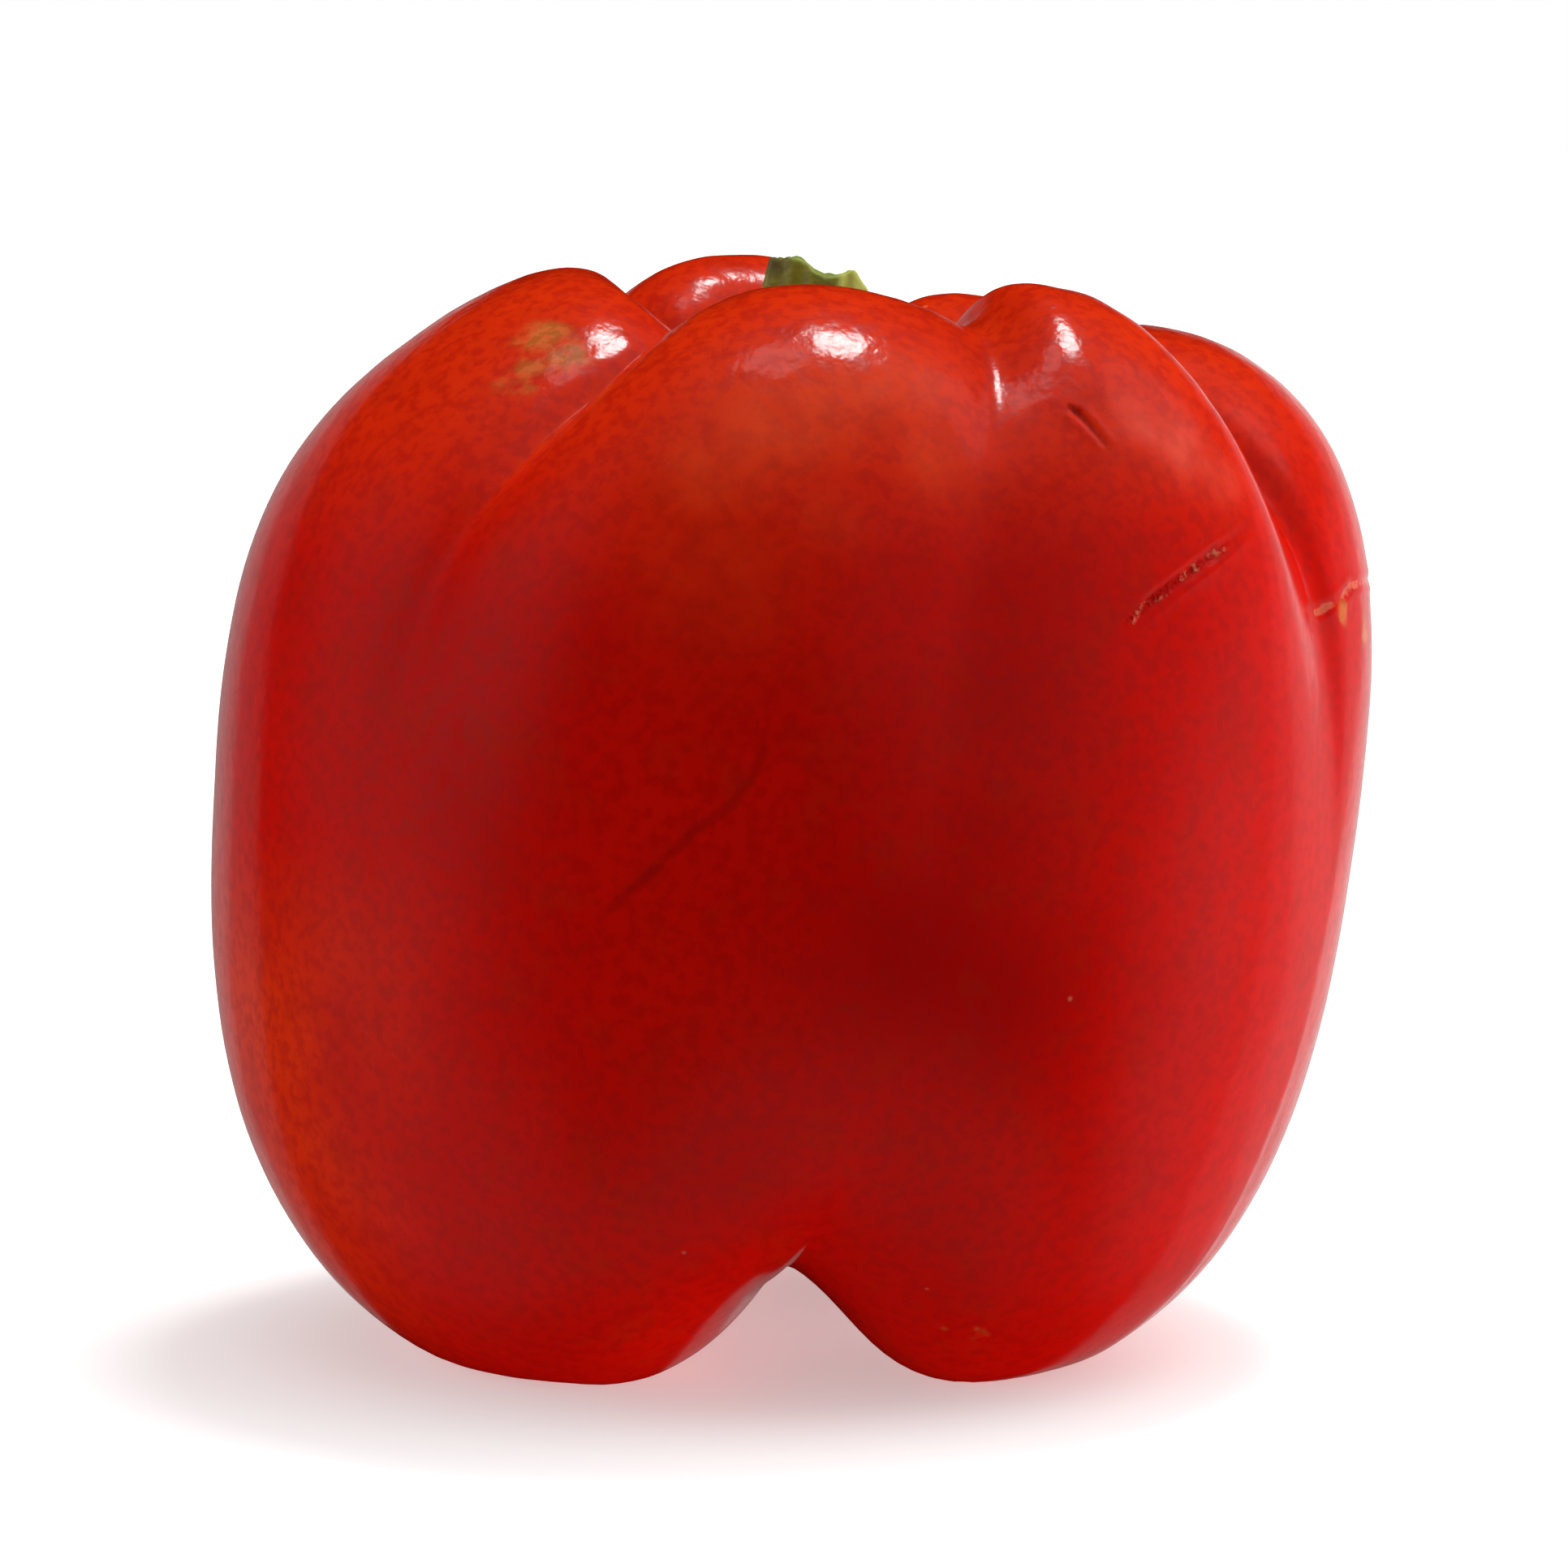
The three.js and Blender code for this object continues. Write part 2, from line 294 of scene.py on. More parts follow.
def lobe_relief(places, columns, rows):
    """How far the skin stands out, in mm, apart from the marks."""
    gentle = sway(places, *BROAD_SWAY) + sway(places, *SMALL_SWAY)
    puckers = sway(places, *PUCKERS) * smooth(places[:, 2] / MM, *PUCKER_HEIGHTS)
    return gentle + puckers - FOLD_DEPTH * fold_nearness(columns, rows)


# %% The cut shape of each mark
# For each mark: the groove's depth and width and the lips' height and width, in mm, and whether it fades out
# at its ends.
MARK_SHAPES = {
    "slit": (0.30, 0.9, 0.07, 1.1, True),
    "gouge": (0.22, 1.4, 0.12, 1.5, True),
    "crease": (0.12, 1.6, 0.06, 2.2, True),
    "crack": (0.2, 0.9, 0.08, 1.3, False),
}
# The healed gouge is rough inside: the height, wave and seed of one more sway.
GOUGE_ROUGHNESS = (0.3, 0.8, 21)


def groove(near, width):
    """1 in the middle of a groove, 0 from its edge on; the width is in mm."""
    return smooth(near, 1 - width * MM / 2 / MARK_REACH, 1)


def rim(near, width):
    """The raised lips on both sides of a groove."""
    gap = (1 - near) * MARK_REACH / MM
    return np.exp(-(((gap - width * 0.6) / (width * 0.22)) ** 2)) * (near > 0)


def mark_relief(places, near, along):
    """How far the marks sink the skin or raise it, in mm."""
    total = np.zeros(len(places))
    for mark, (depth, width, lip, lip_width, fades) in MARK_SHAPES.items():
        if mark == "gouge":
            depth = depth + sway(places, *GOUGE_ROUGHNESS)
        relief = lip * rim(near[mark], lip_width) - depth * groove(near[mark], width)
        if fades:
            relief *= smooth(along[mark], 0, 0.12) * (1 - smooth(along[mark], 0.9, 1))
        total += relief
    return total


# %% Move every vertex to its place
# The relief grows from nothing over these heights in mm, above the feet, and over these rows, counted from
# the middle of the hollow.
RELIEF_HEIGHTS = (1, 8)
RELIEF_ROWS = (0.5, 4)

columns, rows = net_places(fruit_mesh.verts)
rows = np.clip(rows, 0, ROWS)
on_skin = skin_places(columns, rows)
away_from_ends = np.clip(rows, 0.3, ROWS - 0.3)
out = skin_normals(columns, away_from_ends)
near = {}
along = {}
for mark, line in MARKS.items():
    near[mark], along[mark] = nearness(on_skin, line)
relief = lobe_relief(on_skin, columns, rows) + mark_relief(on_skin, near, along)
relief *= smooth(on_skin[:, 2] / MM, *RELIEF_HEIGHTS) * smooth(rows, *RELIEF_ROWS)
shaped = on_skin + out * relief[:, None] * MM
shaped[:, 2] = np.maximum(shaped[:, 2], 0)
for vertex, place in zip(fruit_mesh.verts, shaped):
    vertex.co = place
print("the relief runs from", round(relief.min(), 2), "to", round(relief.max(), 2), "mm")

# %% Keep the nearness of marks and folds on the mesh
ATTRIBUTES = {**near, "fold": fold_nearness(columns, rows)}


def finished_piece(name, mesh, node, attributes=None):
    """A mesh object at the origin that rides on the frame and stands for one of its nodes."""
    for face in mesh.faces:
        face.smooth = True
    data = bpy.data.meshes.new(name)
    mesh.to_mesh(data)
    mesh.free()
    for kept, values in (attributes or {}).items():
        layer = data.attributes.new(kept, "FLOAT", "POINT")
        layer.data.foreach_set("value", np.asarray(values, dtype=np.float32))
    piece = bpy.data.objects.new(name, data)
    bpy.context.scene.collection.objects.link(piece)
    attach(piece, "root")
    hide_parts(node)
    data.calc_loop_triangles()
    print(name, "has", len(data.loop_triangles), "triangles")
    return piece


pepper_skin = finished_piece("pepper_skin", fruit_mesh, "fruit", ATTRIBUTES)

# %% [markdown]
# ## The calyx
#
# The calyx is the cap of fused green sepals that the flower leaves behind. It lies on the floor of the
# hollow and its blunt teeth run a little way up the wall. A flattened sphere makes a good start again: its
# top half becomes the upper face, its lower half the underside, and its equator the soft edge. A rib runs
# out to each tooth, and the middle swells up into the collar that carries the stem.

# %% The calyx's shape
CALYX_TEETH = 6
CALYX_REACH = 2.0 * ROWS / 12
CALYX_TOOTH = 0.24 * ROWS / 12
CALYX_THICKNESS = 1.9
CALYX_GAP = 0.15
COLLAR_RADIUS = 9
COLLAR_HEIGHT = 3.3


def calyx_places(points):
    """Where the points of a unit sphere go to make the calyx."""
    angles = np.arctan2(points[:, 1], points[:, 0])
    share = np.clip(np.hypot(points[:, 0], points[:, 1]), 0, 1)
    upper = points[:, 2]
    teeth = np.cos(angles * CALYX_TEETH)
    uneven = 0.10 * np.sin(angles * 2 + 1) + 0.07 * np.sin(angles * 11)
    rows = (CALYX_REACH + CALYX_TOOTH * teeth + uneven) * share
    columns = angles / math.tau * COLUMNS
    floor_places = skin_places(columns, rows)
    out = skin_normals(columns, np.maximum(rows, 0.3))
    out[share < 0.05] = (0, 0, 1)
    body = CALYX_THICKNESS * (0.5 + 0.5 * upper)
    body *= 1 - 0.45 * share**3
    ribs = 0.35 * np.maximum(teeth, 0) ** 2 * smooth(share, 0.25, 0.6) * (1 - smooth(share, 0.9, 1))
    waves = 0.12 * np.sin(angles * 23 + 5 * share) * smooth(share, 0.3, 0.8)
    lift = CALYX_GAP + body + (ribs + waves) * smooth(upper, 0, 0.4)
    places = floor_places + out * lift[:, None] * MM
    from_axis = np.linalg.norm((places - floor_places[0])[:, :2], axis=1) / MM
    collar = (1 - smooth(from_axis / COLLAR_RADIUS, 0.3, 1.3)) * smooth(upper, 0, 0.5)
    places[:, 2] += COLLAR_HEIGHT * MM * collar
    return places


calyx_mesh = bmesh.new()
bmesh.ops.create_uvsphere(calyx_mesh, u_segments=180, v_segments=72, radius=1)
points = np.array([vertex.co[:] for vertex in calyx_mesh.verts])
for vertex, place in zip(calyx_mesh.verts, calyx_places(points)):
    vertex.co = place
calyx = finished_piece("calyx_cap", calyx_mesh, "calyx")

# %% [markdown]
# ## The stem
#
# The stem is a thick, ribbed stalk that was snapped and cut off short. Its outline is drawn once, from the
# flare that grips the calyx, up the side and over the rim of the cut end to the pith, and then spun round.
# The ribs, the lean and the torn slope of the cut are pushed into the spun shape afterwards, because none
# of them is the same all the way round.

# %% The stem's outline, spun
stem_low, stem_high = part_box("stem")
STEM_BASE = stem_low.z / MM - 1.2
STEM_TOP = stem_high.z / MM
STEM_FOOT = Vector((0.4, 0.7))
STEM_LEAN = Vector((1.7, 0.0))
STEM_OUTLINE = [
    (0.0, 0.0), (6.3, 0.0), (5.6, 0.18), (4.75, 0.36), (4.25, 0.55), (4.05, 0.75), (3.95, 0.92),
    (3.8, 1.0), (3.3, 1.0), (2.4, 0.975), (1.2, 0.955), (0.0, 0.95),
]


def rounded(outline, steps):
    """The outline with more points, on soft curves through the given ones."""
    spots = np.array(outline)
    spots = np.concatenate([[2 * spots[0] - spots[1]], spots, [2 * spots[-1] - spots[-2]]])
    drawn = []
    for a, b, c, d in zip(spots, spots[1:], spots[2:], spots[3:]):
        for t in np.arange(steps) / steps:
            drawn.append(0.5 * (2 * b + (c - a) * t + (2 * a - 5 * b + 4 * c - d) * t**2
                                + (3 * b - a - 3 * c + d) * t**3))
    drawn.append(spots[-2])
    return np.array(drawn)


stem_mesh = bmesh.new()
outline = rounded(STEM_OUTLINE, 6)
outline[:, 0] = np.maximum(outline[:, 0], 0)
drawn = [stem_mesh.verts.new((radius * MM, 0, height)) for radius, height in outline]
chain = [stem_mesh.edges.new(pair) for pair in zip(drawn, drawn[1:])]
bmesh.ops.spin(stem_mesh, geom=drawn + chain, cent=(0, 0, 0), axis=(0, 0, 1), angle=math.tau, steps=144,
               use_merge=True)
bmesh.ops.remove_doubles(stem_mesh, verts=stem_mesh.verts, dist=1e-6)
bmesh.ops.recalc_face_normals(stem_mesh, faces=stem_mesh.faces)
print("the spun stem has", len(stem_mesh.verts), "vertices")

# %% Ribs, lean and the torn cut
def cut_drop(x):
    """How far below the top the cut end lies, in mm, from its high side at -X to its low side at +X."""
    slope = 1.35 * smooth(x, -1.7, 0.7)
    lip = 0.35 * np.exp(-(((x - 2.8) / 0.55) ** 2))
    return slope - lip + 1.3 * smooth(x, 3.0, 4.2)


for vertex in stem_mesh.verts:
    share = vertex.co.z
    angle = math.atan2(vertex.co.y, vertex.co.x)
    radius = math.hypot(vertex.co.x, vertex.co.y)
    ribs = 0.05 * math.cos(5 * angle + 0.6) + 0.025 * math.cos(13 * angle + 2)
    radius *= 1 + ribs * float(smooth(radius / MM, 1.5, 3.5))
    x, y = radius * math.cos(angle), radius * math.sin(angle)
    torn = 0.22 * noise.noise(Vector((x, y, 0)) / (1.1 * MM))
    torn += 0.1 * noise.noise(Vector((x, y, 9)) / (0.5 * MM))
    top = STEM_TOP - 0.1 - float(cut_drop(np.array(x / MM))) + torn * float(smooth(share, 0.85, 1))
    vertex.co.z = (STEM_BASE + (top - STEM_BASE) * share) * MM
    vertex.co.x = x + (STEM_FOOT.x + STEM_LEAN.x * share) * MM
    vertex.co.y = y + (STEM_FOOT.y + STEM_LEAN.y * share) * MM
stem = finished_piece("stem_stub", stem_mesh, "stem")

# %% [markdown]
# ## Building materials from nodes
#
# The finishes are built from nodes, which read a place on the piece and give back a colour, a gloss or a
# height. A few short helpers keep the lines readable: one makes a node and fills its sockets, and the others
# wrap the sums and blends that come up again and again.

# %% Helpers for nodes
def put(tree, kind, inputs, **settings):
    """A new node. Each input is a value, or another node's output that is linked to it."""
    made = tree.nodes.new("ShaderNode" + kind)
    for name, value in settings.items():
        setattr(made, name, value)
    for name, value in inputs.items():
        if isinstance(value, bpy.types.NodeSocket):
            tree.links.new(value, made.inputs[name])
        else:
            made.inputs[name].default_value = value
    return made


def maths(tree, operation, a, b=0.0):
    """The result of a sum, a product or another operation on two values."""
    return put(tree, "Math", {0: a, 1: b}, operation=operation).outputs[0]


def ease(tree, value, low, high, bottom=0.0, top=1.0):
    """A value between low and high, eased onto a range that runs from bottom to top."""
    inputs = {"Value": value, "From Min": low, "From Max": high, "To Min": bottom, "To Max": top}
    return put(tree, "MapRange", inputs, interpolation_type="SMOOTHSTEP").outputs["Result"]


def blend(tree, share, below, above):
    """Two colours mixed by a share: 0 gives the one below, 1 the one above."""
    return put(tree, "Mix", {0: share, 6: below, 7: above}, data_type="RGBA").outputs[2]


def speckle(tree, where, scale, detail=2.0, roughness=0.5):
    """A noise pattern's value."""
    inputs = {"Vector": where, "Scale": scale, "Detail": detail, "Roughness": roughness}
    return put(tree, "TexNoise", inputs).outputs["Fac"]


def colour(red, green, blue):
    """A colour for a socket, from its linear amounts of light."""
    return (red, green, blue, 1.0)


# %% [markdown]
# ## Effects that the finishes share
#
# An effect that comes back again and again is a node group, built once and used with other values each
# time. Mottling gives soft patches of any size, and peel the fine dimples of a skin: every finish has both.
# Dots gives scattered specks, and mark edge turns the nearness of a mark into a mask with a ragged edge: the
# fruit alone has those. Groups hold only patterns, and the shader itself stays in each material.

# %% Make the groups
def new_group(name, inputs, outputs):
    """An empty node group with named sockets, and its two end nodes."""
    tree = bpy.data.node_groups.new(name, "ShaderNodeTree")
    for socket, (kind, value) in inputs.items():
        made = tree.interface.new_socket(socket, in_out="INPUT", socket_type="NodeSocket" + kind)
        if value is not None:
            made.default_value = value
    for socket in outputs:
        tree.interface.new_socket(socket, in_out="OUTPUT", socket_type="NodeSocketFloat")
    start = tree.nodes.new("NodeGroupInput")
    end = tree.nodes.new("NodeGroupOutput")
    return tree, start.outputs, end.inputs


def mottling_group():
    """Soft patches: 0 and 1 are rare, and most of the skin lies between them."""
    inputs = {"Place": ("Vector", None), "Patch Size": ("Float", 0.005), "Contrast": ("Float", 1.0)}
    tree, start, end = new_group("mottling", inputs, ["Mask"])
    scale = maths(tree, "DIVIDE", 1.0, start["Patch Size"])
    patches = speckle(tree, start["Place"], scale, detail=3.0, roughness=0.6)
    around_zero = maths(tree, "MULTIPLY", maths(tree, "SUBTRACT", patches, 0.5), start["Contrast"])
    lifted = put(tree, "Math", {0: around_zero, 1: 0.5}, operation="ADD", use_clamp=True).outputs[0]
    tree.links.new(lifted, end["Mask"])
    return tree


def peel_group():
    """Fine dimples, as a height between about 0 and 1."""
    inputs = {"Place": ("Vector", None), "Dimple Size": ("Float", 0.0008)}
    tree, start, end = new_group("peel", inputs, ["Height"])
    scale = maths(tree, "DIVIDE", 1.0, start["Dimple Size"])
    cells = put(tree, "TexVoronoi", {"Vector": start["Place"], "Scale": scale}, feature="SMOOTH_F1")
    grain = speckle(tree, start["Place"], maths(tree, "MULTIPLY", scale, 2.3), detail=1.0)
    mixed = maths(tree, "ADD", cells.outputs["Distance"], maths(tree, "MULTIPLY", grain, 0.4))
    tree.links.new(mixed, end["Height"])
    return tree


def dots_group():
    """Scattered round specks: only some of the cells hold one."""
    inputs = {"Place": ("Vector", None), "Spacing": ("Float", 0.006), "Size": ("Float", 0.05),
              "Share": ("Float", 0.4)}
    tree, start, end = new_group("dots", inputs, ["Mask"])
    scale = maths(tree, "DIVIDE", 1.0, start["Spacing"])
    cells = put(tree, "TexVoronoi", {"Vector": start["Place"], "Scale": scale, "Randomness": 1.0})
    inside = ease(tree, cells.outputs["Distance"], start["Size"], 0.0)
    lot = put(tree, "SeparateColor", {0: cells.outputs["Color"]}).outputs[0]
    chosen = maths(tree, "LESS_THAN", lot, start["Share"])
    tree.links.new(maths(tree, "MULTIPLY", inside, chosen), end["Mask"])
    return tree


# Noise strays about a quarter from its middle, so this much makes it reach about 1.
NOISE_REACH = 4.0


def mark_edge_group():
    """A mark's mask from its nearness: 1 inside the given width in mm, with a ragged edge."""
    inputs = {"Nearness": ("Float", 0.0), "Place": ("Vector", None), "Width": ("Float", 1.0),
              "Softness": ("Float", 0.3), "Ragged": ("Float", 0.2), "Grain": ("Float", 0.0006)}
    tree, start, end = new_group("mark edge", inputs, ["Mask"])
    reach = MARK_REACH / MM
    gap = maths(tree, "MULTIPLY", maths(tree, "SUBTRACT", 1.0, start["Nearness"]), reach)
    scale = maths(tree, "DIVIDE", 1.0, start["Grain"])
    torn = maths(tree, "SUBTRACT", speckle(tree, start["Place"], scale), 0.5)
    ragged = maths(tree, "MULTIPLY", start["Ragged"], NOISE_REACH)
    gap = maths(tree, "ADD", gap, maths(tree, "MULTIPLY", torn, ragged))
    half = maths(tree, "MULTIPLY", start["Width"], 0.5)
    outer = maths(tree, "ADD", half, start["Softness"])
    tree.links.new(ease(tree, gap, outer, half), end["Mask"])
    return tree


mottling = mottling_group()
peel = peel_group()
dots = dots_group()
mark_edge = mark_edge_group()


def use(tree, group, inputs):
    """The first output of a group, placed in a tree."""
    made = put(tree, "Group", {}, node_tree=group)
    for name, value in inputs.items():
        if isinstance(value, bpy.types.NodeSocket):
            tree.links.new(value, made.inputs[name])
        else:
            made.inputs[name].default_value = value
    return made.outputs[0]


print("the groups are", [group.name for group in (mottling, peel, dots, mark_edge)])

# %% [markdown]
# ## Stains, painted shade and painted reflections
#
# No two peppers are coloured alike. This one is darker in bands down its front: partly a deeper red of its
# skin, and partly painted shade where the front faces away from the light. It has two painted reflections of
# the bright studio, an orange glow on the front shoulder and pink on one arch, and it is tan where the skin
# was rubbed. A pattern that repeats can't know where those places are, so each is a handful of soft spots,
# given one by one. Like the marks, these spots are kept on the mesh as attributes, for the material to read.

# %% Soft stains, painted shade and painted reflections on the skin
# Each spot has its place and its width in mm, and its strength.
STAINS_AND_PAINTED_LIGHT = {
    # deep: partly a deeper red of the skin, partly painted shade down the front, which faces away from the
    # light
    "deep": [((14.5, -36.5, 66), 7, 0.5), ((14.5, -39.0, 56), 7, 0.55), ((13.5, -40.0, 47), 7, 0.5),
             ((9.5, -41.0, 37), 8, 1), ((15.0, -39.5, 34.5), 7, 0.8), ((-27, -32.5, 62), 8, 0.4),
             ((-25, -37.5, 50), 9, 0.45), ((-3, -41.5, 18), 6, 0.5)],
    # glow: a painted reflection, an orange sheen on the front shoulder
    "glow": [((-5.7, -36.9, 73.1), 4.5, 0.8), ((-2.1, -35.5, 76.0), 4.5, 1), ((1.5, -34.4, 77.4), 4, 1),
             ((5.1, -32.7, 78.8), 3.6, 0.9), ((8.8, -31.6, 78.8), 3.4, 0.8), ((10.5, -34.6, 74.1), 3, 0.7),
             ((2.7, -38.7, 69.6), 3, 0.4), ((-5, -39.5, 66), 7, 0.4)],
    "tan": [((-19.5, -16.5, 82.0), 2.6, 0.8), ((-17.0, -18.6, 80.6), 2.2, 0.9),
            ((-20.5, -20.0, 79.2), 2.6, 0.8), ((14.2, -27.2, 6.2), 1.2, 1), ((11.7, -27.4, 6.5), 1.0, 1),
            ((43.4, -12.2, 60.3), 1.2, 1), ((45.6, -8.0, 58.6), 1.2, 1)],
    # pink: a painted reflection, a pink sheen on one arch
    "pink": [((26.0, -28.1, 76.2), 2.0, 0.7), ((29.1, -27.1, 74.3), 2.4, 1),
             ((32.3, -25.9, 71.8), 2.0, 0.7)],
}


def stain_amount(places, spots):
    """A spot's strength at its middle, easing to nothing past its width in mm; the strongest spot counts."""
    amount = np.zeros(len(places))
    for middle, wide, strength in spots:
        gap = np.linalg.norm(places - np.array(middle) * MM, axis=1) / (wide * MM)
        amount = np.maximum(amount, strength * np.exp(-gap * gap))
    return amount


skin_data = pepper_skin.data
skin_points = np.zeros(len(skin_data.vertices) * 3, dtype=np.float32)
skin_data.vertices.foreach_get("co", skin_points)
for stain_and_painted_light, spots in STAINS_AND_PAINTED_LIGHT.items():
    layer = skin_data.attributes.new("stain_" + stain_and_painted_light, "FLOAT", "POINT")
    layer.data.foreach_set("value", stain_amount(skin_points.reshape(-1, 3), spots).astype(np.float32))
kept_values = [layer.name for layer in skin_data.attributes if layer.data_type == "FLOAT"]
print("the skin now keeps", sorted(kept_values))

# %% [markdown]
# ## The ripe skin
#
# A ripe red pepper is a deep, even red with a thin waxy gloss. Looked at closely it is mottled: broad deeper
# patches, brownish ones of a few millimetres and a fine grain of about a millimetre. A warmer red on the
# shoulders is painted light from above. The colour is built up like paint, one soft layer over the last. The
# skin is glossy by itself, and a weak, sharper coat of wax over it draws the bright middle of each
# highlight.

# %% Colours of the skin
DARK_RED = colour(0.330, 0.0010, 0.0005)
DEEP_RED = colour(0.450, 0.0012, 0.0005)
RED = colour(0.560, 0.0040, 0.0008)
WARM_RED = colour(0.640, 0.0320, 0.0030)
ORANGE = colour(0.700, 0.0650, 0.0120)
PINK = colour(0.720, 0.0800, 0.0450)
BROWN_RED = colour(0.300, 0.0180, 0.0030)
OLIVE = colour(0.300, 0.1700, 0.0250)
TAN = colour(0.520, 0.2000, 0.0500)
PALE_SCAR = colour(0.780, 0.2600, 0.1400)
# Painted shade for the inside of the slit and the line of the crease.
PAINTED_CUT_SHADE = colour(0.150, 0.0030, 0.0020)


def new_material(name):
    """A material with only an output and a Principled shader, and its places on the piece."""
    material = bpy.data.materials.new(name)
    material.use_nodes = True
    tree = material.node_tree
    shader = tree.nodes["Principled BSDF"]
    where = tree.nodes.new("ShaderNodeTexCoord").outputs["Object"]
    return material, tree, shader, where


def kept(tree, name):
    """A value that was kept on the mesh."""
    node = put(tree, "Attribute", {}, attribute_name=name)
    return node.outputs["Fac"]


def mottled(tree, where, size, contrast):
    """A mask of soft patches of a size in metres."""
    return use(tree, mottling, {"Place": where, "Patch Size": size, "Contrast": contrast})


def times(tree, a, b):
    """The product of two values."""
    return maths(tree, "MULTIPLY", a, b)


# %% The red, from deep to warm
# Painted light from above: the red turns warmer and lighter up over the first heights, in metres.
PAINTED_TOP_LIGHT_HEIGHTS = (0.062, 0.086)
LEFT_SIDE = (-0.024, -0.042)
LOW_HEIGHTS = (0.046, 0.030)


def patchy_red(tree, where, axes):
    """The red: patchy, with painted shade down the front and painted light on the shoulders and their folds;
    warmer low on the left.
    """
    patches = mottled(tree, where, 0.016, 1.5)
    # The deep spots: partly a deeper red of the skin, partly painted shade down the front.
    deep = times(tree, kept(tree, "stain_deep"), 0.9)
    red = blend(tree, deep, blend(tree, patches, RED, DEEP_RED), DARK_RED)
    # Painted light from above: a warmer, lighter red towards the top of the shoulders.
    high = times(tree, ease(tree, axes["Z"], *PAINTED_TOP_LIGHT_HEIGHTS), ease(tree, patches, 0.1, 0.9, 1.0, 0.6))
    red = blend(tree, times(tree, high, 0.9), red, WARM_RED)
    low_left = times(tree, ease(tree, axes["X"], *LEFT_SIDE), ease(tree, axes["Z"], *LOW_HEIGHTS))
    low_left = times(tree, low_left, ease(tree, patches, 0.2, 0.8, 0.8, 0.3))
    red = blend(tree, low_left, red, WARM_RED)
    # Painted light in the folds near the top: they turn orange where the top is lit.
    painted_fold_light = times(tree, times(tree, kept(tree, "fold"), high), 0.6)
    return blend(tree, painted_fold_light, red, ORANGE)


# %% Grain, stains, painted reflections and specks over the red
def stained_and_painted_light(tree, where, red, grain):
    """The red with its brownish patches, its fine grain, its stains, its painted reflections and its pale
    specks.
    """
    brown = mottled(tree, where, 0.004, 2.2)
    red = blend(tree, ease(tree, brown, 0.5, 0.95, 0.0, 0.20), red, BROWN_RED)
    red = blend(tree, ease(tree, grain, 0.3, 0.85, 0.0, 0.42), red, DARK_RED)
    # A painted reflection: an orange sheen on the front shoulder.
    glow = times(tree, kept(tree, "stain_glow"), ease(tree, brown, 0.2, 0.8, 0.5, 0.3))
    red = blend(tree, glow, red, ORANGE)
    # A painted reflection: a pink sheen on one arch.
    pink = times(tree, kept(tree, "stain_pink"), ease(tree, brown, 0.2, 0.8, 0.8, 0.4))
    red = blend(tree, pink, red, PINK)
    tan = ease(tree, times(tree, kept(tree, "stain_tan"), brown), 0.15, 0.5, 0.0, 0.5)
    red = blend(tree, tan, red, blend(tree, ease(tree, grain, 0.4, 0.6), TAN, OLIVE))
    specks = use(tree, dots, {"Place": where, "Spacing": 0.009, "Size": 0.035, "Share": 0.35})
    return blend(tree, times(tree, specks, 0.45), red, PALE_SCAR)


# %% The marks over the stains, with painted shade in the slit and the crease
def mark_mask(tree, where, mark, width, softness, ragged=0.2):
    """Where a mark lies: its width and the softness of its edge are in mm."""
    return use(tree, mark_edge, {"Nearness": kept(tree, mark), "Place": where, "Width": width,
                                 "Softness": softness, "Ragged": ragged})


def marked(tree, where, red, gouge, torn):
    """The red with painted shade in the slit and the crease, the healed gouge and the pale crack."""
    # Painted shade: the inside of the slit is darkened.
    slit = mark_mask(tree, where, "slit", 0.25, 0.3, 0.1)
    red = blend(tree, times(tree, slit, 0.6), red, PAINTED_CUT_SHADE)
    scar = ease(tree, torn, 0.55, 1.0, 0.0, 0.7)
    red = blend(tree, times(tree, gouge, 0.75), red, blend(tree, scar, DARK_RED, PALE_SCAR))
    # Painted shade: the line of the crease is darkened.
    crease = mark_mask(tree, where, "crease", 0.3, 0.5)
    red = blend(tree, times(tree, crease, 0.3), red, PAINTED_CUT_SHADE)
    crack = mark_mask(tree, where, "crack", 0.3, 0.25)
    return blend(tree, times(tree, crack, 0.35), red, PALE_SCAR)


# %% The skin's fine relief
WRINKLE_SCALE = (900, 900, 350)
WRINKLE_HEIGHTS = (0.074, 0.080)
RELIEF_UNIT = 0.000012


def skin_height(tree, where, axes, gouge, torn):
    """Dimples and waves all over, wrinkles drawn out downwards near the top, and the torn gouge."""
    dimples = use(tree, peel, {"Place": where, "Dimple Size": 0.0012})
    waves = times(tree, speckle(tree, where, 420.0, detail=2.0), 1.2)
    height = maths(tree, "ADD", dimples, waves)
    drawn_out = put(tree, "Mapping", {"Vector": where, "Scale": WRINKLE_SCALE}).outputs[0]
    near_the_top = ease(tree, axes["Z"], *WRINKLE_HEIGHTS, 0.0, 5.0)
    height = maths(tree, "ADD", height, times(tree, speckle(tree, drawn_out, 1.0), near_the_top))
    return maths(tree, "ADD", height, times(tree, times(tree, torn, gouge), 12.0))


